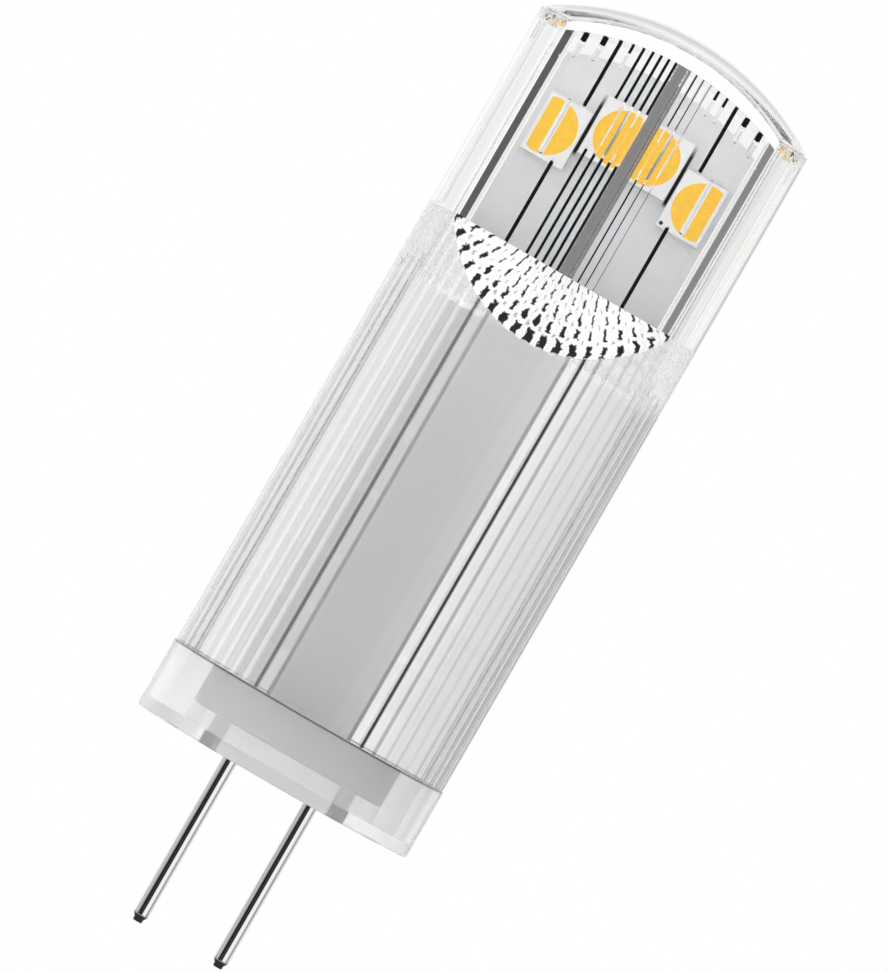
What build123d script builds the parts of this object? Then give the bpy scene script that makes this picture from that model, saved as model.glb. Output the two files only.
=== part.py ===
from build123d import *
from math import asin, cos, radians, sin, tan
import os

# A two-pin low-voltage LED lamp. +Z runs up the lamp's axis and z = 0 is the
# underside of the base. The circuit board stands in the XZ plane, and its front
# looks towards -Y. All sizes are in millimetres.

# Contact pins
pin_spacing = 4.0
pin_diameter = 0.7
pin_length = 8.2
pin_tip_diameter = 0.4
pin_tip_length = 0.35
pin_shank_width = 0.46

# Clear base cup
base_diameter = 13.4
base_height = 3.25
base_wall = 0.9
base_floor = 0.6
base_slot_width = 0.75
base_lip = 0.05

# Pin carrier set in the base
carrier_gap = 1.13
carrier_disc_height = 1.86
carrier_block_width = 5.0
carrier_block_depth = 3.2

# Clear cover: round below, with a flat window at the front and at the rear of its upper part
side_wall = 1.45
window_length = 9.75
window_cut = 2.65
window_wall = 0.66
scoop_height = 3.1
cavity_corner = 0.35
cover_crown = 1.5
dome_rise = 2.1
ceiling_rise = 1.15
shoulder_chamfer = 0.2

# Ribs of the cover, all in planes through its axis: grooves outside, ridges inside the windows
rib_count = 62
groove_width = 0.3
groove_depth = 0.06
groove_margin = 0.5
scoop_grooves_each_side = 8
ridges_each_side = 8
ridge_width = 0.12
centre_ridge_width = 0.6
strong_ridge = 7
strong_ridge_width = 0.22

# Clear filling cast round the stem of the board
filling_length = 21.95

# Circuit board
board_thickness = 0.8
head_side_clearance = 0.53
head_top_clearance = 0.7
head_arch_rise = 0.95
stem_width = 2.86
foot_width = 5.4
foot_depth = 1.6
foot_cover = 0.1
foot_bridge = 0.4
pin_notch_clearance = 0.05

# Light-emitting packages
led_gap = 0.2
led_edge = 0.27
led_length = 2.8
led_thickness = 0.65
led_drop = 3.18
led_inner_lift = 1.04
window_side_margin = 0.15
window_end_margin = 0.12
window_depth = 0.25

# Driver parts on the rear of the stem: width across, length along the lamp, height
diode_size = (1.2, 2.0, 0.85)
chip_size = (2.0, 2.8, 0.9)
chip_corner = 0.3
choke_size = (2.0, 2.4, 1.1)
capacitor_size = (1.2, 2.0, 1.2)
resistor_size = (1.2, 2.0, 0.5)
pair_pitch = 1.34
part_gap = 0.4
driver_row_start = 1.9

# Sizes that follow from those above
carrier_seat = base_height - carrier_disc_height
carrier_radius = base_diameter / 2 - base_wall - carrier_gap
cover_radius = base_diameter / 2 - base_lip
window_flat = cover_radius - window_cut
cavity_width = 2 * (cover_radius - side_wall)
cavity_depth = 2 * (window_flat - window_wall)
filling_top = base_height + filling_length
cover_shoulder = filling_top + window_length
cover_top = cover_shoulder + dome_rise
ceiling_edge = cover_top - cover_crown - ceiling_rise
head_width = cavity_width - 2 * head_side_clearance
head_corner = ceiling_edge - head_top_clearance
led_pitch = (head_width - 2 * led_edge + led_gap) / 4
led_width = led_pitch - led_gap
foot_top = base_height - foot_cover
foot_bottom = foot_top - foot_depth
pin_top = foot_top - foot_bridge
board_face = board_thickness / 2


def block(width, length, height, base=(0, 0, 0)):
    """A box standing on the middle of its underside."""
    return Pos(*base) * Box(width, length, height, align=(Align.CENTER, Align.CENTER, Align.MIN))


def drum(radius, height, bottom=0):
    """A cylinder on the lamp's axis."""
    return Pos(0, 0, bottom) * Cylinder(radius, height, align=(Align.CENTER, Align.CENTER, Align.MIN))


def turned(*points):
    """A solid turned about the lamp's axis from (radius, height) corners."""
    return revolve(make_face(Plane.XZ * Polyline(*points, close=True)), Axis.Z)


def domed_column(radius, bottom, shoulder, rise):
    """A round column whose top is a cap of a sphere."""
    sphere = (radius**2 + rise**2) / (2 * rise)
    half_turn = asin(radius / sphere) / 2
    top = shoulder + rise
    middle = (sphere * sin(half_turn), top - sphere * (1 - cos(half_turn)))
    side = Polyline((0, top), (0, bottom), (radius, bottom), (radius, shoulder))
    cap = ThreePointArc((radius, shoulder), middle, (0, top))
    return revolve(make_face(Plane.XZ * (side + cap)), Axis.Z)


def notch_face():
    """Section of a groove in a surface at x = 0 whose outside is towards +X."""
    corners = (-groove_depth, 0), (groove_depth, -groove_width), (groove_depth, groove_width)
    return Polygon(*corners, align=None)


def make_grooves():
    """Fine upright grooves all round the cover's outer wall, up to just below its shoulder."""
    notch = Pos(cover_radius, 0) * notch_face()
    grooves = Sketch() + [Rot(0, 0, 360 / rib_count * (place + 0.5)) * notch for place in range(rib_count)]
    return Pos(0, 0, base_height) * extrude(grooves, cover_shoulder - groove_margin - base_height)


def make_scoop_grooves():
    """The front grooves where they cross the slope below the front window, from its foot outwards."""
    slope = scoop_height / window_cut
    out_of_slope = Vector(0, -slope, 1)
    grooves = Part()
    for turn in range(-scoop_grooves_each_side, scoop_grooves_each_side + 1):
        across = tan(radians(turn * 360 / rib_count))
        start = Vector(window_flat * across, -window_flat, filling_top)
        run = Vector(across, -1, -slope)
        section = Plane(start, x_dir=out_of_slope, z_dir=run) * notch_face()
        grooves += extrude(section, run.length * window_cut)
    return grooves


def make_ridges():
    """Square-edged ridges inside both windows, where the rib planes cross their inner faces."""
    face = cavity_depth / 2
    wide = {0: centre_ridge_width, strong_ridge: strong_ridge_width}
    ridges = Sketch()
    for turn in range(-ridges_each_side, ridges_each_side + 1):
        across = face * tan(radians(turn * 360 / rib_count))
        width = wide.get(abs(turn), ridge_width)
        ridge = Polygon((-width, -width / 2), (width, -width / 2), (0, width / 2), align=None)
        ridges += Pos(across, -face) * ridge
    ridges += mirror(ridges, Plane.XZ)
    return Pos(0, 0, filling_top) * extrude(ridges, cover_top - filling_top)


def make_window_cut():
    """What is cut away in front of the front window: a flat that runs out below in a slope."""
    reach = 2 * cover_radius
    slope = scoop_height / window_cut
    side = Polygon(
        (-window_flat, cover_top + reach),
        (-window_flat, filling_top),
        (-reach, filling_top - slope * (reach - window_flat)),
        (-reach, cover_top + reach),
        align=None,
    )
    return extrude(Plane.YZ * side, reach, both=True)


def make_cavity():
    """The space inside the cover: flat-sided, with rounded corners and an arched ceiling."""
    half = cavity_width / 2
    walls = Polyline((-half, ceiling_edge), (-half, base_height), (half, base_height), (half, ceiling_edge))
    ceiling = ThreePointArc((half, ceiling_edge), (0, ceiling_edge + ceiling_rise), (-half, ceiling_edge))
    arch = extrude(Plane.XZ * make_face(walls + ceiling), cavity_depth / 2, both=True)
    column = extrude(RectangleRounded(cavity_width, cavity_depth, cavity_corner), cover_top)
    return arch & column


def make_pin():
    """A round pin with a tapered tip and a square shank locked in the carrier."""
    radius = pin_diameter / 2
    pin = turned(
        (0, -pin_length),
        (pin_tip_diameter / 2, -pin_length),
        (radius, pin_tip_length - pin_length),
        (radius, 0),
        (0, 0),
    )
    return pin + block(pin_shank_width, pin_shank_width, pin_top)


def make_base():
    """The clear cup: wall, floor, and a raised seat with the pocket for the pin carrier."""
    cup = drum(base_diameter / 2, base_height)
    cup -= drum(base_diameter / 2 - base_wall, base_height, base_floor)
    cup += drum(carrier_radius, carrier_seat)
    pocket_width = carrier_block_width + 2 * base_slot_width
    return cup - block(pocket_width, carrier_block_depth, carrier_seat)


def make_carrier(pins):
    """The insert that holds the pins: a disc on the seat, and a block down through the floor."""
    disc = drum(carrier_radius, carrier_disc_height, carrier_seat)
    carrier = disc + block(carrier_block_width, carrier_block_depth, carrier_seat)
    pocket_depth = base_height - foot_bottom
    carrier -= block(foot_width, board_thickness, pocket_depth, (0, 0, foot_bottom))
    return carrier - pins


def make_cover():
    """The one-piece clear body: a grooved round column and dome with two flat windows, hollow inside."""
    body = domed_column(cover_radius, base_height, cover_shoulder, dome_rise)
    shoulder = body.edges().filter_by(lambda edge: edge.is_closed).sort_by(Axis.Z)[-1]
    body = chamfer(shoulder, shoulder_chamfer) - make_grooves()
    front_cut = make_window_cut() + make_scoop_grooves()
    body = body - front_cut - mirror(front_cut, Plane.XZ)
    return body - (make_cavity() - make_ridges())


def make_filling(embedded):
    """The clear filling, cast in the cover up to the foot of its windows."""
    outline = RectangleRounded(cavity_width, cavity_depth, cavity_corner)
    return Pos(0, 0, base_height) * extrude(outline, filling_length) - embedded


def make_board():
    """The board: an arched head in the clear part, a narrow stem, and a notched foot."""
    head = head_width / 2
    stem = stem_width / 2
    foot = foot_width / 2
    right = Polyline(
        (head, head_corner),
        (head, filling_top),
        (stem, filling_top),
        (stem, foot_top),
        (foot, foot_top),
        (foot, foot_bottom),
    )
    bottom = Line((foot, foot_bottom), (-foot, foot_bottom))
    arch = ThreePointArc((-head, head_corner), (0, head_corner + head_arch_rise), (head, head_corner))
    outline = make_face(right + bottom + mirror(right, Plane.YZ) + arch)
    notch_width = pin_shank_width + 2 * pin_notch_clearance
    for side in (-1, 1):
        notch_height = pin_top + pin_notch_clearance - foot_bottom
        notch = Rectangle(notch_width, notch_height, align=(Align.CENTER, Align.MIN))
        outline -= Pos(side * pin_spacing / 2, foot_bottom) * notch
    return Pos(0, board_face, 0) * extrude(Plane.XZ * outline, board_thickness)


def window_prism(depth):
    """A round window with one side cut flat, centred, its flat towards -X."""
    radius = led_length / 2 - window_end_margin
    width = led_width - 2 * window_side_margin
    disc = Pos(width / 2 - radius, 0) * Circle(radius)
    return extrude(disc & Rectangle(width, 2 * radius), depth)


def make_led_pair(flat_side):
    """A white package lying on z = 0 and the phosphor that fills its window."""
    body = block(led_width, led_length, led_thickness)
    phosphor = window_prism(window_depth)
    if flat_side > 0:
        phosphor = mirror(phosphor, Plane.YZ)
    phosphor = Pos(0, 0, led_thickness - window_depth) * phosphor
    return body - phosphor, phosphor


def make_chip():
    """The leadless driver chip, with one corner cut to mark its first contact."""
    chip = block(*chip_size)
    return chamfer(chip.edges().filter_by(Axis.Z).sort_by(Axis.X)[0], chip_corner)


def on_face(piece, x, z, side):
    """Stands a piece on the board: side -1 is the front face, +1 the rear face."""
    turn = 90 if side < 0 else -90
    spin = 0 if side < 0 else 180
    return Pos(x, side * board_face, z) * Rot(turn, 0, 0) * Rot(0, 0, spin) * piece


def make_leds(side, face_name):
    """The bowed row of four packages on one face, each in two nodes."""
    pieces = {}
    for place in range(4):
        x = (place - 1.5) * led_pitch
        inner = place in (1, 2)
        z = head_corner - led_drop + (led_inner_lift if inner else 0)
        flat_side = 1 if place % 2 else -1
        package, phosphor = make_led_pair(flat_side)
        across = -side * x
        pieces[f"led_package_{face_name}_{place + 1}"] = on_face(package, across, z, side)
        pieces[f"led_phosphor_{face_name}_{place + 1}"] = on_face(phosphor, across, z, side)
    return pieces


def make_driver():
    """The driver parts, laid out in rows up the rear of the stem."""
    half_pair = pair_pitch / 2
    diode = block(*diode_size)
    capacitor = block(*capacitor_size)
    rows = [
        (diode_size[1], [("rectifier_diode_1", diode, -half_pair), ("rectifier_diode_2", diode, half_pair)]),
        (diode_size[1], [("rectifier_diode_3", diode, -half_pair), ("rectifier_diode_4", diode, half_pair)]),
        (chip_size[1], [("driver_chip", make_chip(), 0)]),
        (choke_size[1], [("choke", block(*choke_size), 0)]),
        (capacitor_size[1], [("input_capacitor", capacitor, -half_pair), ("output_capacitor", capacitor, half_pair)]),
        (resistor_size[1], [("sense_resistor", block(*resistor_size), 0)]),
    ]
    pieces = {}
    z = base_height + driver_row_start
    for reach, row in rows:
        for name, piece, x in row:
            pieces[name] = on_face(piece, x, z + reach / 2, 1)
        z += reach + part_gap
    return pieces


def make_lamp():
    """Every piece of the lamp by its node name."""
    pin = make_pin()
    pins = {
        "pin_left": Pos(-pin_spacing / 2, 0, 0) * pin,
        "pin_right": Pos(pin_spacing / 2, 0, 0) * pin,
    }
    board = make_board()
    driver = make_driver()
    embedded = [board, *driver.values()]
    lamp = {
        "clear_cover": make_cover(),
        "clear_filling": make_filling(embedded),
        "lamp_base": make_base(),
        "pin_carrier": make_carrier(list(pins.values())),
        "circuit_board": board,
    }
    lamp.update(pins)
    lamp.update(make_leds(-1, "front"))
    lamp.update(make_leds(1, "rear"))
    lamp.update(driver)
    return lamp


os.makedirs("parts", exist_ok=True)
for node, solid in make_lamp().items():
    export_step(solid, f"parts/{node}.step")
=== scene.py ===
from math import acos, cos, pi, radians, sin, sqrt

import bmesh
import bpy
from mathutils import Matrix, Vector


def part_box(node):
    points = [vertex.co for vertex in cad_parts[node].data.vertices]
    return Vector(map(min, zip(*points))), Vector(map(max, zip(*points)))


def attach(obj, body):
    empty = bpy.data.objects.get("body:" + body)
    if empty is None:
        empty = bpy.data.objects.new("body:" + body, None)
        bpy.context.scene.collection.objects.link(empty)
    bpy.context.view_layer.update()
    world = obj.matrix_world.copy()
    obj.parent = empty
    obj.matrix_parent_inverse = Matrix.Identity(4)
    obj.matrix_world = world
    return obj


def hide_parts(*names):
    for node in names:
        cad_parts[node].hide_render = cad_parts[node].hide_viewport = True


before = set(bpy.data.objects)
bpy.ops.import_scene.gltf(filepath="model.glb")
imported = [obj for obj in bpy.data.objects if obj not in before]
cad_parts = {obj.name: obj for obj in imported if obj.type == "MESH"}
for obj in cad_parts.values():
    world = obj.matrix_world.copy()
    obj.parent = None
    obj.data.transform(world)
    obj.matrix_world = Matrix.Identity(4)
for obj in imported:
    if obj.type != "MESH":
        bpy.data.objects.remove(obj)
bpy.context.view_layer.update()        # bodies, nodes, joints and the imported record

# Sizes, in metres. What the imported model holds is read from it.
MM = 0.001
BODY = "root"
cover_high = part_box("clear_cover")[1]
filling_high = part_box("clear_filling")[1]
base_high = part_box("lamp_base")[1]
carrier_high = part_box("pin_carrier")[1]
pin_low, pin_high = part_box("pin_right")
base_top = base_high.z
cover_radius = cover_high.x
cover_top = cover_high.z
cavity_half_width = filling_high.x
cavity_half_depth = filling_high.y
filling_top = filling_high.z

# Clear cover: dome, flat windows and the slopes below them
dome_rise = 2.1 * MM
cover_crown = 1.5 * MM
ceiling_rise = 1.15 * MM
shoulder_round = 0.3 * MM
cavity_corner = 0.35 * MM
window_flat = 4.0 * MM
scoop_height = 3.1 * MM
cover_shoulder = cover_top - dome_rise
ceiling_edge = cover_top - cover_crown - ceiling_rise
scoop_slope = scoop_height / (cover_radius - window_flat)
# What is cut away before a window reaches this far beyond the cover's wall and above its top
cut_beyond = 1.5 * MM
cut_above = 1.0 * MM

# Steps along the rounded forms and the slope, and samples to a rib on each piece
ceiling_steps = 16
shoulder_steps = 8
dome_steps = 24
slope_steps = 60
corner_steps = 4
samples_per_rib = 12
slope_samples = 16
base_samples = 4
pin_samples = 3
weld_distance = 0.0001 * MM

# Ribs, all in planes through the axis: grooves outside, ridges inside the windows
rib_count = 62
rib_step = 2 * pi / rib_count
slope_ribs = 11
groove_width = 0.34 * MM
groove_depth = 0.03 * MM
groove_margin = 0.5 * MM
# Ridges of a face, counted from its middle: black ones on the left, soft ones on the right, a strong one on
# either side, and the last, which stripes the outer packages. A share is a ridge's height by half its width.
ridges_each_side = 8
ridge_width = 0.13 * MM
black_ridges = 5
strong_ridge = 7
strong_width = 0.17 * MM
stripe_width = 0.26 * MM
stripe_share = 0.8
centre_width = 0.52 * MM
centre_share = 0.92
soft_ridges = 4
soft_share = 0.75
fine_width = 0.1 * MM
# Share of its width that a ridge keeps where it is flattened
flattened = 0.02
# The ridges are lower between these heights: before the inner two packages, then before the outer two
inner_low = (30.4 * MM, 32.8 * MM)
outer_low = (29.2 * MM, 31.85 * MM)
low_run = 0.1 * MM
# Short ridges hang from the ceiling: how far down they are right angles, how long they are, and their steps
hung_black = 0.5 * MM
hung_length = 1.2 * MM
hung_run = 0.05 * MM
# Beads of the slopes: width in ribs, depth, rows down the slope, their swell and how fast they set in
bead_width = 0.34
bead_depth = 0.06 * MM
bead_rows = 3.0
bead_swell = 0.45
bead_onset = 12

# Slopes' broken skin: how near to the slope it lies, its white and its roughness, and its drift and strays
skin_reach = (0.3 * MM, 0.2 * MM)
skin_white = 0.4
skin_rough_outside = 0.5
skin_rough_inside = 0.9
skin_grain = 1800
stray_grain = 3500
stray_ribs = 0.3
stray_radius = 0.03
# Its flecks, black painted shade: half their width in ribs, and what is added lower down, by the drift and
# in the middle
fleck_width = 0.04
fleck_width_low = 0.08
fleck_width_drift = 0.08
fleck_width_middle = 0.1
fleck_solid = 0.6
# Where they grow, their rows as shares of the cover's radius, and the ticks along the top
fleck_growth = (0.82, 0.97)
fleck_foot = 0.98
fleck_pitch = 0.09
fleck_rows = (-0.85, -0.35)
fleck_edge = (0.05, -0.02)
fleck_middle = (5, 1)
fleck_between = 1.3
tick_reach = (0.25 * MM, 0.15 * MM)

# Painted shade along the grooves, counted from the middle of a face: how dark single lines are, and all on
# its right
line_strengths = {3: 0.5, 4: 1.0, 5: 0.5, 6: 0.15, 7: 0.15, -3: 0.6, -4: 0.92}
line_strength = 0.2
line_first = 2.5
line_last = 9.5
line_edge = (0.2, 0.08)
# On the left the grooves carry matt white lines, a painted highlight, from this rib on
highlight_first = 4.5
highlight_white = 0.2
highlight_edge = (0.28, 0.12)
wall_edge = (0.985, 0.988)

# Marks on the board, the packages and the driver's small parts
gap_place = 2.25 * MM
gap_edge = (0.1 * MM, 0.06 * MM)
gap_foot = (29.9 * MM, 30.1 * MM)
gap_head = (33.0 * MM, 32.4 * MM)
dot_place = (2.52 * MM, 29.3 * MM)
dot_edge = (0.1 * MM, 0.08 * MM)
tinned_share = 0.2
tinned_blur = 0.02 * MM
stem_blur = 0.1 * MM
# Marks on the pins, the carrier and the base
nub_blur = 0.05 * MM
white_top = (0.06 * MM, 0.03 * MM)
block_blur = 0.02 * MM
seam_mark = (0.1 * MM, 0.06 * MM)

# Clouds in every finish: their detail and contrast, and those of a clear one
cloud_detail = 3
cloud_contrast = (0.25, 0.75)
clear_grain = 900
clear_cloud = 0.985

# The filling wets the cover's wall and the carrier, so its skin lies a hair inside them
wetting = 0.02 * MM
wetted_scale = 1.005
# Air in the seam between the cover and the base
seam = 0.02 * MM

# Base cup, the insert that carries the pins, and the pins
base_radius = base_high.x
base_wall = 0.9 * MM
base_floor = 0.6 * MM
base_round = 0.12 * MM
slot_width = 0.75 * MM
carrier_radius = carrier_high.x
carrier_seat = 1.39 * MM
block_width = 5.0 * MM
block_depth = 3.2 * MM
half_pocket = block_width / 2 + slot_width
block_round = 0.15 * MM
block_overlap = 0.3 * MM
pocket_beyond = 1 * MM
pin_spacing = 4.0 * MM
pin_radius = 0.35 * MM
pin_shank_radius = 0.23 * MM
pin_nub_radius = 0.22 * MM
pin_nub_round = 0.06 * MM
pin_taper = 0.2 * MM
pin_nub_length = 0.15 * MM
air_gap = 0.02 * MM

# Photograph: its height and scale in pixels, the lamp's lean and what lies in the middle
image_height = 973
pixels_per_mm = 23.1
lamp_lean = radians(30)
centre_across = 0.1 * MM
centre_height = 14.75 * MM
camera_distance = 0.6

# Studio: its brightness, and the row of cards' height and fading edge, as sines of their elevation
studio_level = 1.12
card_height = 0.06
card_edge = 0.12
# Shades of the cards, once round the lamp: 0.5 is the camera's side, 0.25 its left, 0.75 its right, and both
# 0 and 1 are the backdrop
card_shades = (
    (0.0, 0.97), (0.085, 0.76), (0.115, 0.76), (0.13, 0.98), (0.19, 0.98), (0.194, 0.07), (0.217, 0.07),
    (0.221, 0.75), (0.28, 0.62), (0.33, 0.42), (0.365, 0.2), (0.385, 0.01), (0.456, 0.01), (0.458, 0.27),
    (0.464, 0.27), (0.466, 0.01), (0.51, 0.01), (0.533, 0.1), (0.536, 0.22), (0.544, 0.22), (0.556, 1.0),
    (0.68, 1.0), (0.7, 0.4), (0.775, 0.45), (0.783, 0.22), (0.806, 0.22), (0.81, 0.96), (0.87, 0.98),
    (0.885, 0.76), (0.905, 0.76), (0.95, 0.5), (1.0, 0.97),
)
# White cloth above and below the cards: its shade, what it gains from below and loses overhead
cloth_shade = 0.77
cloth_gain = 0.2
cloth_gain_reach = (-0.9, 0.1)
cloth_loss = 0.42
cloth_loss_reach = (0.15, 0.5)
# The broad light on matt surfaces, weaker on the right
broad_light = 2.1
broad_loss = 0.95
broad_loss_reach = (0.2, 0.75)
floor_radius = 16 * MM
floor_sides = 96
floor_drop = 0.5 * MM
sensor_size = 36.0

# What a row of a turned section carries
ROUND, RIDGED, GROOVED, CEILING, RIDGED_CEILING, FLAT_SIDED, INNER_LOW, OUTER_LOW, BOTH_LOW = range(9)
# Rows that follow the ceiling's arch below it
HUNG_BLACK, HUNG, HUNG_FOOT = range(9, 12)


class Field:
    """A number in a node tree. Arithmetic on it adds the matching math node."""

    def __init__(self, tree, socket):
        self.tree = tree
        self.socket = socket

    def math(self, operation, *others):
        node = self.tree.nodes.new("ShaderNodeMath")
        node.operation = operation
        for port, value in zip(node.inputs, (self, *others)):
            if isinstance(value, Field):
                self.tree.links.new(value.socket, port)
            else:
                port.default_value = value
        return Field(self.tree, node.outputs[0])

    def __add__(self, other):
        return self.math("ADD", other)

    def __sub__(self, other):
        return self.math("SUBTRACT", other)

    def __mul__(self, other):
        return self.math("MULTIPLY", other)

    def __truediv__(self, other):
        return self.math("DIVIDE", other)

    def __gt__(self, other):
        return self.math("GREATER_THAN", other)

    def __lt__(self, other):
        return self.math("LESS_THAN", other)

    def floor(self):
        return self.math("FLOOR")

    def size(self):
        return self.math("ABSOLUTE")

    def cos(self):
        return self.math("COSINE")

    def sin(self):
        return self.math("SINE")

    def tan(self):
        return self.math("TANGENT")

    def root(self):
        return self.math("SQRT")

    def near(self, other):
        return self.math("COMPARE", other, 0.1)

    def ramp(self, low, high):
        """0 at low, 1 at high and straight between."""
        return ((self - low) * (1 / (high - low))).math("MAXIMUM", 0).math("MINIMUM", 1)

    def toward(self, other, share):
        """This number where share is 0, the other where it is 1."""
        gap = other - self if isinstance(other, Field) else self * -1 + other
        return self + gap * share


class Rules:
    """A geometry node tree that bends a flat grid by named inputs, then welds and paints it."""

    def __init__(self, name, whole, real):
        self.tree = bpy.data.node_groups.new(name, "GeometryNodeTree")
        self.add_input("Geometry", "Geometry")
        for label in ("Rows", *whole):
            self.add_input(label, "Int")
        for label in real:
            self.add_input(label, "Float")
        self.add_input("Material", "Material")
        self.tree.interface.new_socket("Geometry", in_out="OUTPUT", socket_type="NodeSocketGeometry")
        self.given = self.tree.nodes.new("NodeGroupInput")
        self.grid = self.tree.nodes.new("GeometryNodeMeshGrid")

    def add_input(self, label, kind):
        self.tree.interface.new_socket(label, in_out="INPUT", socket_type=f"NodeSocket{kind}")

    def value(self, label):
        return Field(self.tree, self.given.outputs[label])

    def place_on_grid(self, columns):
        """Column and row of each point of a grid with this many columns between its two edges."""
        nodes, links = self.tree.nodes, self.tree.links
        self.grid.inputs["Size X"].default_value = 1
        self.grid.inputs["Size Y"].default_value = 1
        links.new((columns + 1).socket, self.grid.inputs["Vertices X"])
        links.new(self.given.outputs["Rows"], self.grid.inputs["Vertices Y"])
        place = nodes.new("ShaderNodeSeparateXYZ")
        links.new(nodes.new("GeometryNodeInputPosition").outputs[0], place.inputs[0])
        column = ((Field(self.tree, place.outputs["X"]) + 0.5) * columns + 0.5).floor()
        row = ((Field(self.tree, place.outputs["Y"]) + 0.5) * (self.value("Rows") - 1) + 0.5).floor()
        return column, row

    def section_row(self, row):
        """The three numbers of one row, kept as the position of a point of the incoming mesh."""
        nodes, links = self.tree.nodes, self.tree.links
        section = nodes.new("GeometryNodeSampleIndex")
        section.data_type = "FLOAT_VECTOR"
        links.new(self.given.outputs["Geometry"], section.inputs["Geometry"])
        links.new(nodes.new("GeometryNodeInputPosition").outputs[0], section.inputs["Value"])
        links.new(row.socket, section.inputs["Index"])
        point = nodes.new("ShaderNodeSeparateXYZ")
        links.new(section.outputs[0], point.inputs[0])
        return [Field(self.tree, point.outputs[axis]) for axis in "XYZ"]

    def end(self, x, y, z):
        nodes, links = self.tree.nodes, self.tree.links
        target = nodes.new("ShaderNodeCombineXYZ")
        for axis, field in zip("XYZ", (x, y, z)):
            links.new(field.socket, target.inputs[axis])
        move = nodes.new("GeometryNodeSetPosition")
        links.new(self.grid.outputs["Mesh"], move.inputs["Geometry"])
        links.new(target.outputs[0], move.inputs["Position"])
        weld = nodes.new("GeometryNodeMergeByDistance")
        weld.inputs["Distance"].default_value = weld_distance
        links.new(move.outputs[0], weld.inputs["Geometry"])
        real = nodes.new("GeometryNodeRealizeInstances")
        links.new(weld.outputs[0], real.inputs[0])
        paint = nodes.new("GeometryNodeSetMaterial")
        links.new(real.outputs[0], paint.inputs["Geometry"])
        links.new(self.given.outputs["Material"], paint.inputs["Material"])
        links.new(paint.outputs[0], nodes.new("NodeGroupOutput").inputs[0])


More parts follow.
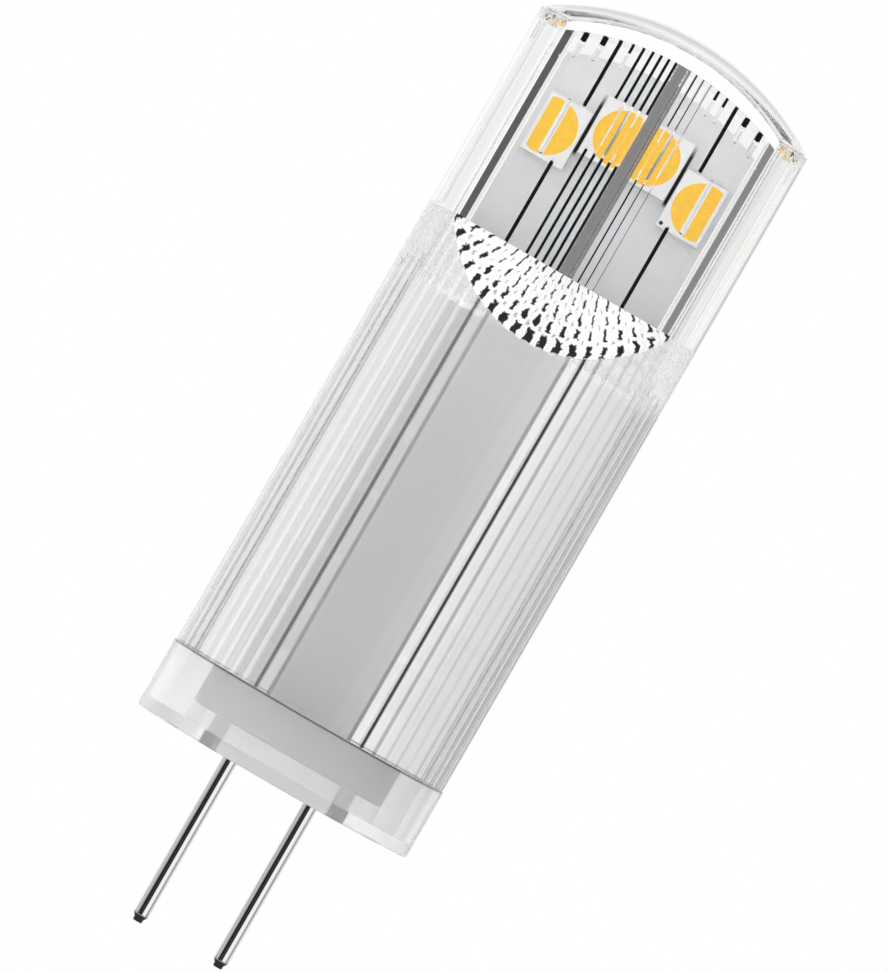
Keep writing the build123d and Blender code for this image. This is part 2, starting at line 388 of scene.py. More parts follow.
def turned_wall_rules():
    """Carries a half-section round the axis, with the grooves, the ridges and the flat-sided cavity.

    Each point of the incoming mesh is one row of the half-section: x is its radius (in the cavity, its
    share of the cavity's outline), y says what the row carries and z is its height, or its height above the
    ceiling for rows that follow the arch.
    """
    rules = Rules(
        "turned_wall",
        ("Ribs", "Samples per rib", "Ridges each side", "Black ridges", "Soft ridges", "Strong ridge"),
        (
            "Groove width", "Groove depth", "Outer radius", "Ridge width", "Strong width", "Centre width",
            "Centre share", "Soft share", "Fine width", "Stripe width", "Stripe share",
            "Half width", "Half depth", "Corner", "Ceiling edge", "Ceiling rise",
        ),
    )
    value = rules.value
    samples = value("Samples per rib")
    column, row = rules.place_on_grid(value("Ribs") * samples)
    size, kind, height = rules.section_row(row)
    step = value("Ribs").math("POWER", -1) * (2 * pi)
    per_face = value("Ribs") / 2

    # Which rib of which face a column belongs to; ribs are counted from the middle of the face
    rib = (column / samples).floor()
    sample = column - rib * samples
    face = (rib / per_face).floor()
    turn = rib - face * per_face - (per_face - 1) / 2
    next_turn = turn + 1 - (turn > (per_face - 1) / 2 - 0.5) * per_face
    angle = (rib - (per_face - 1) / 2) * step - pi / 2
    on_crest = sample < 0.5
    share = ((sample - 1) / (samples - 2)).math("MAXIMUM", 0)

    # Where the ridges are low, before the packages
    inner = kind.near(INNER_LOW) + kind.near(BOTH_LOW)
    outer = kind.near(OUTER_LOW) + kind.near(BOTH_LOW)
    # Where the short ridges hang from the ceiling, one rib further out than the long ones
    hung_upper = kind.near(RIDGED_CEILING) + kind.near(HUNG_BLACK)
    hung = hung_upper + kind.near(HUNG)
    hung_last = value("Ridges each side") + 1

    def fine_ridge(which):
        """1 for the ridges right of the middle, which thin out, except before the packages."""
        return (which > 1.5) * (which < value("Soft ridges") + 0.5) * (inner * -1 + 1)

    def half_ridge(which):
        strong = which.size().near(value("Strong ridge"))
        last = which.size().near(value("Ridges each side"))
        # The last ridge, not the strong one, crosses the outer packages, and is flat above and below them
        width = value("Ridge width").toward(value("Strong width") * (outer * (flattened - 1) + 1), strong)
        kept = (outer + hung) * (1 - flattened) + flattened
        width = width.toward(value("Stripe width") * kept, last)
        kept = hung * (1 - flattened) + flattened
        width = width.toward(value("Stripe width") * kept, which.size().near(hung_last))
        thinned = value("Fine width") * (value("Soft ridges") + 1 - which) / value("Soft ridges")
        width = width.toward(thinned, fine_ridge(which))
        width = width.toward(value("Centre width"), which.near(0))
        # Between these ridges and the strong one the ribs are bare, but for the short ridges
        middle_last = value("Soft ridges").toward(value("Black ridges"), which < 0)
        bare = (which.size() > middle_last + 0.5) * (which.size() < value("Strong ridge") - 0.5)
        bare = bare * (hung * -1 + 1)
        return width * 0.5 * (which.size() < hung_last + 0.5) * (bare * -1 + 1)

    def foot(which):
        """Angle from a ridge's middle to its foot on the flat face."""
        return half_ridge(which) / value("Half depth") * (which * step).cos().math("POWER", 2)

    def along(near, far):
        """Angle of a column, with the land between two ribs shared out evenly."""
        land = near + (far - near) * share
        return land.toward(angle, on_crest)

    # The round wall and its grooves
    half_groove = value("Groove width") / value("Outer radius") * 0.5
    round_angle = along(angle + half_groove, angle + step - half_groove)
    grooved = kind.near(GROOVED)
    radius = size - grooved * on_crest * value("Groove depth")
    round_x, round_y = radius * round_angle.cos(), radius * round_angle.sin()

    # The cavity's outline: flat faces, flat sides and a small flat across each corner
    flat_angle = along(angle + foot(turn), angle + step - foot(next_turn))
    across, deep = flat_angle.cos(), flat_angle.sin()
    to_face = value("Half depth") / deep.size().math("MAXIMUM", 0.00001)
    to_side = value("Half width") / across.size().math("MAXIMUM", 0.00001)
    to_corner = value("Half width") + value("Half depth") - value("Corner")
    to_corner = to_corner / (across.size() + deep.size())
    reach = to_face.math("MINIMUM", to_side).math("MINIMUM", to_corner)

    # Ridges stand on the flat faces: the black ones are right angles, the others are lower
    ridged = kind.near(RIDGED) + kind.near(RIDGED_CEILING) + (kind > FLAT_SIDED + 0.5)
    black = (turn < -0.5) * (turn > value("Black ridges") * -1 - 0.5)
    black = black.math("MAXIMUM", turn.size().near(value("Strong ridge")))
    beyond = turn.size() > value("Black ridges") + 0.5
    black = (black * (inner.toward(outer, beyond) * -1 + 1)).math("MAXIMUM", hung_upper)
    dropped = inner * (turn + value("Soft ridges")).near(-1)
    steep = (value("Soft share") * (dropped * -1 + 1)).toward(1, black.math("MAXIMUM", fine_ridge(turn)))
    steep = steep.toward(value("Centre share"), turn.near(0) + turn.near(1))
    stripe = value("Stripe share").toward(1, hung_upper)
    steep = steep.toward(stripe, turn.size() > value("Ridges each side") - 0.5)
    rise = half_ridge(turn) * steep
    crest = ridged * on_crest * (turn.size() < hung_last + 0.5)
    way = face * -2 + 1
    flat_x = (reach * across).toward(way * (turn * step).tan() * value("Half depth"), crest) * size
    flat_y = (reach * deep).toward(way * (rise - value("Half depth")), crest) * size

    flat_sided = ridged + kind.near(CEILING) + kind.near(FLAT_SIDED)
    x = round_x.toward(flat_x, flat_sided)
    y = round_y.toward(flat_y, flat_sided)
    bow = (value("Half width") * value("Half width") + value("Ceiling rise") * value("Ceiling rise"))
    bow = bow / (value("Ceiling rise") * 2)
    crown = value("Ceiling edge") + value("Ceiling rise")
    ceiling = crown - bow + (bow * bow - x * x).math("MAXIMUM", 0).root()
    arched = kind.near(CEILING) + kind.near(RIDGED_CEILING) + (kind > BOTH_LOW + 0.5)
    rules.end(x, y, height + ceiling * arched)
    return rules


def window_cut_rules():
    """What is cut away before a window. Its columns lie in the ribs' planes, so the slope carries them on.

    Each point of the incoming mesh is one row: x is its distance before the axis, y is 1 on the slope and z
    is its height.
    """
    rules = Rules(
        "window_cut",
        ("Samples per rib", "Ribs each side"),
        ("Rib step", "Flat", "Depth", "Slope", "Bead width", "Bead depth", "Bead rows"),
    )
    value = rules.value
    samples = value("Samples per rib")
    column, row = rules.place_on_grid(value("Ribs each side") * samples * 2)
    before, slope_share, height = rules.section_row(row)
    turn = column / samples - value("Ribs each side")
    off_rib = (turn - (turn + 0.5).floor()).size()
    notch = ((off_rib / value("Bead width")).math("MINIMUM", 1) * pi).cos() * 0.5 + 0.5
    down = (before - value("Flat")) / value("Depth")
    bead = (down * value("Bead rows") * (2 * pi)).cos() * -bead_swell + (1 - bead_swell)
    onset = (down * bead_onset).math("MINIMUM", 1).math("MAXIMUM", 0)
    depth = notch * bead * onset * slope_share * value("Bead depth")
    length = (value("Slope") * value("Slope") + 1).root()
    x = before * (turn * value("Rib step")).tan()
    y = before * -1 + depth * value("Slope") / length
    rules.end(x, y, height - depth / length)
    return rules


def add_mesh(name, vertices, edges=(), faces=()):
    mesh = bpy.data.meshes.new(name)
    mesh.from_pydata(vertices, edges, faces)
    piece = bpy.data.objects.new(name, mesh)
    bpy.context.scene.collection.objects.link(piece)
    return piece


def finish_mesh(piece, sharp_angle=radians(20)):
    """Open ends closed, faces outwards, smooth but for real corners."""
    mesh = piece.data
    work = bmesh.new()
    work.from_mesh(mesh)
    bmesh.ops.holes_fill(work, edges=[edge for edge in work.edges if edge.is_boundary], sides=0)
    bmesh.ops.recalc_face_normals(work, faces=work.faces)
    if work.calc_volume(signed=True) < 0:
        bmesh.ops.reverse_faces(work, faces=work.faces)
    work.to_mesh(mesh)
    work.free()
    mesh.shade_smooth()
    mesh.set_sharp_from_angle(angle=sharp_angle)


def ruled_piece(rules, name, section, material, **settings):
    """Makes a plain mesh from the rows of a section by the rules of a node tree."""
    piece = add_mesh(name, section)
    modifier = piece.modifiers.new("rules", "NODES")
    modifier.node_group = rules.tree
    settings.update(Rows=len(section), Material=material)
    for item in rules.tree.interface.items_tree:
        label = item.name.replace(" ", "_")
        if item.in_out == "INPUT" and label in settings:
            setting = settings[label]
            modifier[item.identifier] = float(setting) if item.socket_type == "NodeSocketFloat" else setting
    evaluated = piece.evaluated_get(bpy.context.evaluated_depsgraph_get())
    mesh = bpy.data.meshes.new_from_object(evaluated)
    piece.modifiers.clear()
    piece.data = mesh
    mesh.name = name
    # One material slot alone, so that faces of a later cut or join share it
    mesh.materials.clear()
    mesh.materials.append(material)
    mesh.polygons.foreach_set("material_index", [0] * len(mesh.polygons))
    finish_mesh(piece)
    return piece


def turned_piece(rules, name, section, material, samples=samples_per_rib):
    return ruled_piece(
        rules, name, section, material,
        Ribs=rib_count, Samples_per_rib=samples, Ridges_each_side=ridges_each_side,
        Black_ridges=black_ridges, Soft_ridges=soft_ridges, Strong_ridge=strong_ridge,
        Groove_width=groove_width, Groove_depth=groove_depth, Outer_radius=cover_radius,
        Ridge_width=ridge_width, Strong_width=strong_width, Centre_width=centre_width,
        Centre_share=centre_share, Soft_share=soft_share, Fine_width=fine_width,
        Stripe_width=stripe_width, Stripe_share=stripe_share,
        Half_width=cavity_half_width, Half_depth=cavity_half_depth, Corner=cavity_corner,
        Ceiling_edge=ceiling_edge, Ceiling_rise=ceiling_rise,
    )


def cover_section():
    """The cover's ceiling, inner wall, foot, ribbed outer wall, shoulder and dome."""
    ceiling = [(step / ceiling_steps, CEILING, 0) for step in range(ceiling_steps + 1)]
    # Short rows above and below each step of the ridges keep the long faces true
    wall = [
        (1, RIDGED_CEILING, 0),
        (1, HUNG_BLACK, hung_run - hung_black),
        (1, HUNG_BLACK, -hung_black),
        (1, HUNG, -hung_black - hung_run),
        (1, HUNG, -hung_black - 2 * hung_run),
        (1, HUNG, hung_run - hung_length),
        (1, HUNG, -hung_length),
        (1, HUNG_FOOT, -hung_length - hung_run),
        (1, HUNG_FOOT, -hung_length - 2 * hung_run),
    ]
    kinds = (RIDGED, INNER_LOW, BOTH_LOW, OUTER_LOW, RIDGED)
    steps = (inner_low[1], outer_low[1], inner_low[0], outer_low[0])
    for upper, lower, height in zip(kinds, kinds[1:], steps):
        wall += [(1, upper, height + 2 * low_run), (1, upper, height + low_run)]
        wall += [(1, lower, height), (1, lower, height - low_run)]
    wall += [
        (1, RIDGED, filling_top + wetting),
        (1, FLAT_SIDED, filling_top + wetting),
        (1, FLAT_SIDED, base_top + seam),
        (cover_radius, GROOVED, base_top + seam),
        (cover_radius, GROOVED, filling_top - scoop_height - groove_margin),
        (cover_radius, GROOVED, cover_shoulder - groove_margin),
        (cover_radius, ROUND, cover_shoulder - groove_margin),
    ]
    # The shoulder's round runs from the wall's upright to the dome's own slope
    sphere = (cover_radius**2 + dome_rise**2) / (2 * dome_rise)
    sphere_centre = cover_top - sphere
    reach = cover_radius - shoulder_round
    round_centre = sphere_centre + sqrt((sphere - shoulder_round) ** 2 - reach**2)
    lean = acos((round_centre - sphere_centre) / (sphere - shoulder_round))
    shoulder = []
    for step in range(shoulder_steps + 1):
        angle = (pi / 2 - lean) * step / shoulder_steps
        height = round_centre + shoulder_round * sin(angle)
        shoulder.append((reach + shoulder_round * cos(angle), ROUND, height))
    dome = []
    for step in range(1, dome_steps + 1):
        angle = lean * (1 - step / dome_steps)
        dome.append((sphere * sin(angle), ROUND, sphere_centre + sphere * cos(angle)))
    return ceiling + wall + shoulder + dome


def filling_section():
    low = base_top - wetting
    return [
        (0, FLAT_SIDED, filling_top),
        (wetted_scale, FLAT_SIDED, filling_top),
        (wetted_scale, FLAT_SIDED, low),
        (0, FLAT_SIDED, low),
    ]


def window_section():
    """Rows of what is cut away: up the slope, up the flat and back outside the lamp."""
    far = cover_radius + cut_beyond
    rows = []
    for step in range(slope_steps + 1):
        before = far + (window_flat - far) * step / slope_steps
        rows.append((before, 1, filling_top - scoop_slope * (before - window_flat)))
    high = cover_top + cut_above
    return rows + [(window_flat, 0, high), (far, 0, high), rows[0]]


def round_corner(radius, height, size):
    """Rows of a rounded lower corner about a centre, from straight down to straight out."""
    rows = []
    for step in range(corner_steps + 1):
        angle = pi / 2 * step / corner_steps - pi / 2
        rows.append((radius + size * cos(angle), ROUND, height + size * sin(angle)))
    return rows


def base_section():
    """The clear cup: floor, wall, and the seat under the pin carrier."""
    outer = round_corner(base_radius - base_round, base_round, base_round)
    inner_radius = base_radius - base_wall
    seat_top = carrier_seat - air_gap
    rest = [
        (base_radius, ROUND, base_top),
        (inner_radius, ROUND, base_top),
        (inner_radius, ROUND, base_floor),
        (carrier_radius, ROUND, base_floor),
        (carrier_radius, ROUND, seat_top),
        (0, ROUND, seat_top),
    ]
    return [(0, ROUND, 0)] + outer + rest


def carrier_section():
    low = round_corner(carrier_radius - base_round, carrier_seat + base_round, base_round)
    rest = [(carrier_radius, ROUND, base_top), (0, ROUND, base_top)]
    return [(0, ROUND, carrier_seat)] + low + rest


def pin_section():
    tip = pin_low.z
    shaft = tip + pin_nub_length + pin_taper
    nub = round_corner(pin_nub_radius - pin_nub_round, tip + pin_nub_round, pin_nub_round)
    rest = [
        (pin_nub_radius, ROUND, tip + pin_nub_length),
        (pin_radius, ROUND, shaft),
        (pin_radius, ROUND, 0),
        (pin_shank_radius, ROUND, 0),
        (pin_shank_radius, ROUND, pin_high.z),
        (0, ROUND, pin_high.z),
    ]
    return [(0, ROUND, tip)] + nub + rest


def box_mesh(name, low, high, bevel=0.0):
    """A box between two corners, its edges rounded."""
    piece = add_mesh(name, [])
    work = bmesh.new()
    bmesh.ops.create_cube(work, size=1)
    for vertex in work.verts:
        for axis in range(3):
            vertex.co[axis] = low[axis] if vertex.co[axis] < 0 else high[axis]
    if bevel:
        bmesh.ops.bevel(work, geom=work.edges[:], offset=bevel, segments=3, profile=0.5, affect="EDGES")
    work.to_mesh(piece.data)
    work.free()
    return piece


def cut(piece, tool):
    """Takes the tool out of a piece and deletes the tool."""
    modifier = piece.modifiers.new("cut", "BOOLEAN")
    modifier.operation = "DIFFERENCE"
    modifier.solver = "EXACT"
    modifier.object = tool
    evaluated = piece.evaluated_get(bpy.context.evaluated_depsgraph_get())
    mesh = bpy.data.meshes.new_from_object(evaluated)
    piece.modifiers.clear()
    piece.data = mesh
    bpy.data.objects.remove(tool)


def add_to(piece, extra):
    """Joins the mesh of another piece to this one."""
    work = bmesh.new()
    work.from_mesh(piece.data)
    work.from_mesh(extra.data)
    work.to_mesh(piece.data)
    work.free()
    bpy.data.objects.remove(extra)


def principled(name, **values):
    """A material with a Principled shader whose plain values sit on its own sockets."""
    material = bpy.data.materials.new(name)
    material.use_nodes = True
    shader = material.node_tree.nodes["Principled BSDF"]
    for key, value in values.items():
        shader.inputs[key.replace("_", " ")].default_value = value
    return material


def object_place(tree):
    """Where a point of the object lies, in metres."""
    coords = tree.nodes.new("ShaderNodeTexCoord")
    split = tree.nodes.new("ShaderNodeSeparateXYZ")
    tree.links.new(coords.outputs["Object"], split.inputs[0])
    return [Field(tree, split.outputs[axis]) for axis in "XYZ"]


def unevenness(tree, grain, stretch=1.0):
    """Cloudy drift from 0 to 1, with about this many clouds to the metre and drawn out along the lamp."""
    coords = tree.nodes.new("ShaderNodeTexCoord")
    mapping = tree.nodes.new("ShaderNodeMapping")
    mapping.inputs["Scale"].default_value = (1, 1, 1 / stretch)
    clouds = tree.nodes.new("ShaderNodeTexNoise")
    clouds.inputs["Scale"].default_value = grain
    clouds.inputs["Detail"].default_value = cloud_detail
    tree.links.new(coords.outputs["Object"], mapping.inputs["Vector"])
    tree.links.new(mapping.outputs[0], clouds.inputs["Vector"])
    return Field(tree, clouds.outputs[0]).ramp(*cloud_contrast)


def blend_colours(tree, first, second, share):
    """The first colour where share is 0, the second where it is 1. Either may come from another node."""
    mix = tree.nodes.new("ShaderNodeMix")
    mix.data_type = "RGBA"
    tree.links.new(share.socket, mix.inputs["Factor"])
    for port, colour in (("A", first), ("B", second)):
        if isinstance(colour, tuple):
            mix.inputs[port].default_value = (*colour, 1)
        else:
            tree.links.new(colour, mix.inputs[port])
    return mix.outputs["Result"]


def join(material, port, source):
    shader = material.node_tree.nodes["Principled BSDF"]
    output = source.socket if isinstance(source, Field) else source
    material.node_tree.links.new(output, shader.inputs[port])


def uneven(name, colour, roughness, grain=1500, spread=0.06, stretch=1.0, marks=(), **values):
    """A finish whose colour and gloss drift a little. Marks are pairs of a colour and where it shows."""
    material = principled(name, **values)
    tree = material.node_tree
    drift = unevenness(tree, grain, stretch)
    darker = tuple(part * (1 - spread) for part in colour)
    lighter = tuple(min(part * (1 + spread), 1) for part in colour)
    shade = blend_colours(tree, darker, lighter, drift)
    for mark_colour, place in marks:
        shade = blend_colours(tree, shade, mark_colour, place(*object_place(tree)))
    join(material, "Base Color", shade)
    join(material, "Roughness", drift * (roughness * 0.5) + roughness * 0.75)
    return material


def cover_plastic():
    """Clear moulding. Its grooves carry dark lines of painted shade, mostly on the right, and matt white
    lines of painted highlight on the left. The slopes' broken skin is white with black flecks of painted
    shade.
    """
    material = principled("clear_plastic", IOR=1.49)
    tree = material.node_tree
    x, y, z = object_place(tree)
    before = y.size()
    radius = (x * x + y * y).root() / cover_radius
    # The rib that a point lies by, counted from the middle of its face
    turn = (x * y.math("SIGN") * -1).math("ARCTAN2", before) / rib_step
    rib = (turn + 0.5).floor()
    from_rib = (turn - rib).size()

    # The slopes' skin is seen from outside alone
    outside = Field(tree, tree.nodes.new("ShaderNodeNewGeometry").outputs["Backfacing"]) * -1 + 1
    above_slope = z + before * scoop_slope - (filling_top + scoop_slope * window_flat)
    broken = above_slope.size().ramp(*skin_reach) * (before > window_flat)
    on_slope = broken * outside
    drift = unevenness(tree, skin_grain)
    stray = unevenness(tree, stray_grain) - 0.5
    # Black flecks painted on the slopes: painted shade
    growth = radius.ramp(*fleck_growth)
    bent_rib = turn + stray * stray_ribs
    from_bent = (bent_rib - (bent_rib + 0.5).floor()).size()
    bent_radius = radius + stray * stray_radius
    rows = ((bent_radius - fleck_foot) * (2 * pi / fleck_pitch)).cos().ramp(*fleck_rows)
    ticks = z.ramp(filling_top - tick_reach[0], filling_top - tick_reach[1])
    width = growth * fleck_width_low + drift * fleck_width_drift + fleck_width
    width = width + growth * turn.size().ramp(*fleck_middle) * fleck_width_middle
    flecks = (from_bent - width).ramp(*fleck_edge) * rows.math("MAXIMUM", ticks)
    # Paler flecks of painted shade between the ribs, in the gaps of the rows
    between = (from_bent * -1 + 0.5 - width * 0.5).ramp(*fleck_edge) * (rows * -1 + fleck_between)
    flecks = flecks.math("MAXIMUM", between * 0.5) * on_slope

    on_wall = radius.ramp(*wall_edge) * (on_slope * -1 + 1)
    # Matt white lines on the left grooves: painted highlight
    matt = (rib < -highlight_first) * (rib > -line_last) * from_rib.ramp(*highlight_edge) * on_wall
    # Dark lines of painted shade along the grooves
    groove_shade = (rib > line_first) * (rib < line_last) * line_strength
    for which, strength in line_strengths.items():
        groove_shade = groove_shade + rib.near(which) * strength
    groove_shade = groove_shade.math("MINIMUM", 1) * from_rib.ramp(*line_edge) * on_wall

    shade = blend_colours(tree, (0.985, 0.985, 0.987), (0.995, 0.995, 0.996), drift)
    # Black where the painted shade of the flecks and the groove lines lies
    shade = blend_colours(tree, shade, (0.0, 0.0, 0.0), flecks.math("MAXIMUM", groove_shade))
    join(material, "Base Color", shade)
    # Less clear under the white skin, the black painted flecks and the painted highlight lines
    clearness = on_slope * -skin_white + flecks * -fleck_solid - matt * highlight_white + 1
    join(material, "Transmission Weight", clearness)
    roughness = outside * (skin_rough_outside - skin_rough_inside) + skin_rough_inside
    join(material, "Roughness", broken * roughness)
    return material


def clear(name, colour, roughness, ior):
    """A clear finish with faint clouding."""
    material = principled(name, IOR=ior, Roughness=roughness, Transmission_Weight=1.0)
    tree = material.node_tree
    drift = unevenness(tree, clear_grain)
    cloudy = tuple(part * clear_cloud for part in colour)
    join(material, "Base Color", blend_colours(tree, cloudy, colour, drift))
    return material


def gap_shade_bars(x, y, z):
    """Painted shade: the board painted black in the narrow gaps beside the middle pair of packages."""
    across = (x.size() - gap_place).size().ramp(*gap_edge)
    return across * z.ramp(*gap_foot) * z.ramp(*gap_head)


def stem_painted_light(x, y, z):
    """The part of the board that stands in the filling, painted lighter: painted light, making up for the
    light the filling holds back.
    """
    return z.ramp(filling_top, filling_top - stem_blur)


def pin_nub(x, y, z):
    """The cut, unplated end of a pin."""
    end = pin_low.z + pin_nub_length + pin_taper
    return z.ramp(end + nub_blur, end - nub_blur)


def carrier_top_painted_light(x, y, z):
    """The carrier's upper face, under the filling, painted white: painted light, brightening what the
    cover's inner walls reflect down onto it.
    """
    return z.ramp(base_top - white_top[0], base_top - white_top[1])


def carrier_block_painted_light(x, y, z):
    """The carrier's block, painted lighter for the light it catches from below: painted light."""
    return z.ramp(carrier_seat + block_blur, carrier_seat - block_blur)


def slot_shade(x, y, z):
    """The walls of the open slot on each side of the carrier's block, painted grey: painted shade in the
    recesses.
    """
    inside = (x.size() > block_width / 2) * (x.size() < half_pocket + air_gap)
    return inside * (y.size() < block_depth / 2 + air_gap) * (z < carrier_seat)


def seam_line(x, y, z):
    """The dark joint along the top of the base."""
    return z.ramp(base_top - seam_mark[0], base_top - seam_mark[1])


def polarity_dot(x, y, z):
    """The small dark dot beside a package's window."""
    along, up = x - dot_place[0], z - dot_place[1]
    return (along * along + up * up).root().ramp(*dot_edge)


def tinned_ends(node):
    """Where the tinned ends of a small part lie, along its longer side."""
    low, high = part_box(node)
    axis = 0 if high.x - low.x > high.z - low.z else 2
    middle = (low[axis] + high[axis]) / 2
    inner = (high[axis] - low[axis]) / 2 * (1 - 2 * tinned_share)

    def place(*point):
        return (point[axis] - middle).size().ramp(inner - tinned_blur, inner)

    return place


def paint(nodes, material):
    for node in nodes:
        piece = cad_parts[node]
        piece.data.materials.clear()
        piece.data.materials.append(material)


def set_world():
    world = bpy.data.worlds.new("studio")
    bpy.context.scene.world = world
    world.use_nodes = True
    tree = world.node_tree
    nodes, links = tree.nodes, tree.links
    nodes.clear()
    out = nodes.new("ShaderNodeOutputWorld")
    path = nodes.new("ShaderNodeLightPath")
    coords = nodes.new("ShaderNodeTexCoord")
    split = nodes.new("ShaderNodeSeparateXYZ")
    links.new(coords.outputs["Generated"], split.inputs[0])
    x, y, z = (Field(tree, split.outputs[axis]) for axis in "XYZ")
    around = x.math("ARCTAN2", y * -1) / (2 * pi) + 0.5
    cards = nodes.new("ShaderNodeValToRGB")
    links.new(around.socket, cards.inputs[0])
    stops = cards.color_ramp.elements
    for spot, level in card_shades:
        stop = stops[0] if spot == 0 else stops[-1] if spot == 1 else stops.new(spot)
        stop.color = (level, level, level, 1)
    # The cards stand in one low row, with white cloth above and below
    row = z.size().ramp(card_edge, card_height)
    cloth = z.ramp(*cloth_gain_reach) * cloth_gain - z.ramp(*cloth_loss_reach) * cloth_loss + cloth_shade
    shade = cloth.toward(Field(tree, cards.outputs[0]), row) * studio_level
    # Matt surfaces see one broad light instead, and the camera a white backdrop
    broad = x.ramp(*broad_loss_reach) * -broad_loss + broad_light
    matt = Field(tree, path.outputs["Diffuse Depth"]) > 0.5
    lit = blend_colours(tree, shade.socket, broad.socket, matt)
    backdrop = blend_colours(tree, lit, (1, 1, 1), Field(tree, path.outputs["Is Camera Ray"]))
    light = nodes.new("ShaderNodeBackground")
    links.new(backdrop, light.inputs["Color"])
    links.new(light.outputs[0], out.inputs[0])


def set_camera():
    data = bpy.data.cameras.new("camera")
    data.sensor_width = sensor_size
    view_height = image_height / pixels_per_mm * MM
    data.lens = sensor_size * camera_distance / view_height
    data.clip_end = 10
    camera = bpy.data.objects.new("camera", data)
    bpy.context.scene.collection.objects.link(camera)
    right = Vector((cos(lamp_lean), 0, sin(lamp_lean)))
    up = Vector((-sin(lamp_lean), 0, cos(lamp_lean)))
    back = right.cross(up)
    place = Matrix.Translation((centre_across, -camera_distance, centre_height))
    camera.matrix_world = place @ Matrix((right, up, back)).transposed().to_4x4()
    bpy.context.scene.camera = camera


walls = turned_wall_rules()
windows = window_cut_rules()
clear_plastic = cover_plastic()
cover = turned_piece(walls, "cover", cover_section(), clear_plastic)
for side in ("front", "rear"):
    window = ruled_piece(
        windows, "window_" + side, window_section(), clear_plastic,
        Samples_per_rib=slope_samples, Ribs_each_side=slope_ribs, Rib_step=rib_step,
        Flat=window_flat, Depth=cover_radius - window_flat, Slope=scoop_slope,
        Bead_width=bead_width, Bead_depth=bead_depth, Bead_rows=bead_rows,
    )
    if side == "rear":
        window.data.transform(Matrix.Rotation(pi, 4, "Z"))
    cut(cover, window)
finish_mesh(cover)
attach(cover, BODY)
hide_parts("clear_cover")

clear_silicone = clear("clear_silicone", (0.985, 0.985, 0.985), roughness=0.0, ior=1.41)
filling = turned_piece(walls, "filling", filling_section(), clear_silicone)
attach(filling, BODY)
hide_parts("clear_filling")

# The slot walls painted grey are painted shade; the seam line is a dark joint
base_marks = [((0.3, 0.3, 0.3), seam_line), ((0.22, 0.22, 0.22), slot_shade)]
base_plastic = uneven(
    "base_plastic", (0.88, 0.885, 0.89), 0.12, spread=0.02, marks=base_marks,
    IOR=1.15, Transmission_Weight=0.82,
)
base = turned_piece(walls, "base", base_section(), base_plastic, base_samples)
pocket_low = (-half_pocket, -block_depth / 2, -pocket_beyond)
pocket_high = (half_pocket, block_depth / 2, carrier_seat + pocket_beyond)
cut(base, box_mesh("pocket", pocket_low, pocket_high))
finish_mesh(base)
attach(base, BODY)
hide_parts("lamp_base")

# The carrier's top and block are painted lighter: painted light
carrier_marks = [((0.95, 0.95, 0.95), carrier_top_painted_light), ((0.75, 0.755, 0.76), carrier_block_painted_light)]
carrier_material = uneven("carrier_plastic", (0.21, 0.216, 0.222), 0.5, marks=carrier_marks)
carrier = turned_piece(walls, "carrier", carrier_section(), carrier_material, base_samples)
block_low = (-block_width / 2, air_gap - block_depth / 2, 0)
block_high = (block_width / 2, block_depth / 2 - air_gap, carrier_seat + block_overlap)
add_to(carrier, box_mesh("block", block_low, block_high, block_round))
finish_mesh(carrier)
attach(carrier, BODY)
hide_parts("pin_carrier")

pin_marks = [((0.03, 0.03, 0.03), pin_nub)]
pin_material = uneven(
    "pin_metal", (0.8, 0.79, 0.78), 0.03, grain=12000, stretch=40, marks=pin_marks, Metallic=1.0
)
for side, node in ((-1, "pin_left"), (1, "pin_right")):
    pin = turned_piece(walls, node + "_dressed", pin_section(), pin_material, pin_samples)
    pin.data.transform(Matrix.Translation((side * pin_spacing / 2, 0, 0)))
    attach(pin, BODY)
    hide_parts(node)

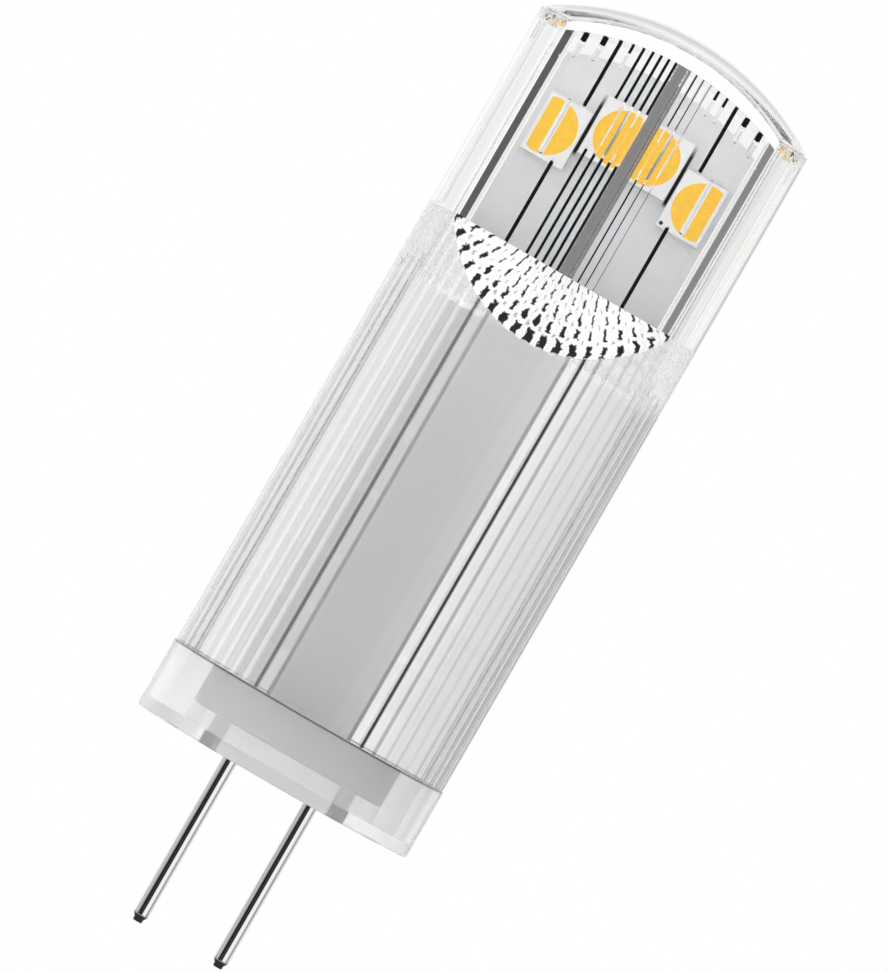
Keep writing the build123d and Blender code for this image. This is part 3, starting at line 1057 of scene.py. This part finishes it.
# Painted shade in the gaps beside the packages, and the stem painted lighter: painted light
board_marks = [((0.01, 0.01, 0.01), gap_shade_bars), ((0.8, 0.805, 0.81), stem_painted_light)]
paint(["circuit_board"], uneven("board_white", (0.66, 0.67, 0.68), 0.45, spread=0.03, marks=board_marks))
leds = [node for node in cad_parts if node.startswith("led_package")]
phosphors = [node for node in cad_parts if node.startswith("led_phosphor")]
led_marks = [((0.01, 0.01, 0.01), polarity_dot)]
paint(leds, uneven("led_white", (0.77, 0.77, 0.765), 0.35, spread=0.03, marks=led_marks))
paint(phosphors, uneven("phosphor", (0.95, 0.54, 0.04), 0.5, grain=4000, spread=0.08))
dark = [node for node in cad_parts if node.startswith("rectifier") or node == "driver_chip"]
paint(dark, uneven("chip_black", (0.03, 0.03, 0.033), 0.5, spread=0.2))
paint(["choke"], uneven("choke_grey", (0.17, 0.17, 0.18), 0.5, spread=0.15))
tin = (0.8, 0.8, 0.78)
for node, name, colour in (
    ("input_capacitor", "capacitor_ceramic_in", (0.6, 0.52, 0.42)),
    ("output_capacitor", "capacitor_ceramic_out", (0.6, 0.52, 0.42)),
    ("sense_resistor", "resistor_black", (0.04, 0.04, 0.045)),
):
    paint([node], uneven(name, colour, 0.4, spread=0.1, marks=[(tin, tinned_ends(node))]))

floor_turns = [2 * pi * step / floor_sides for step in range(floor_sides)]
floor_rim = [(floor_radius * cos(turn), floor_radius * sin(turn), 0) for turn in floor_turns]
floor = add_mesh("floor", floor_rim, faces=[range(floor_sides)])
floor.location.z = pin_low.z - floor_drop
floor_material = bpy.data.materials.new("floor")
floor_material.use_nodes = True
floor_tree = floor_material.node_tree
floor_tree.nodes.clear()
glow = floor_tree.nodes.new("ShaderNodeEmission")
floor_out = floor_tree.nodes.new("ShaderNodeOutputMaterial")
floor_tree.links.new(glow.outputs[0], floor_out.inputs[0])
floor.data.materials.append(floor_material)

set_world()
set_camera()
scene = bpy.context.scene
scene.view_settings.view_transform = "Standard"
scene.cycles.max_bounces = 32
scene.cycles.transmission_bounces = 32
scene.cycles.glossy_bounces = 16
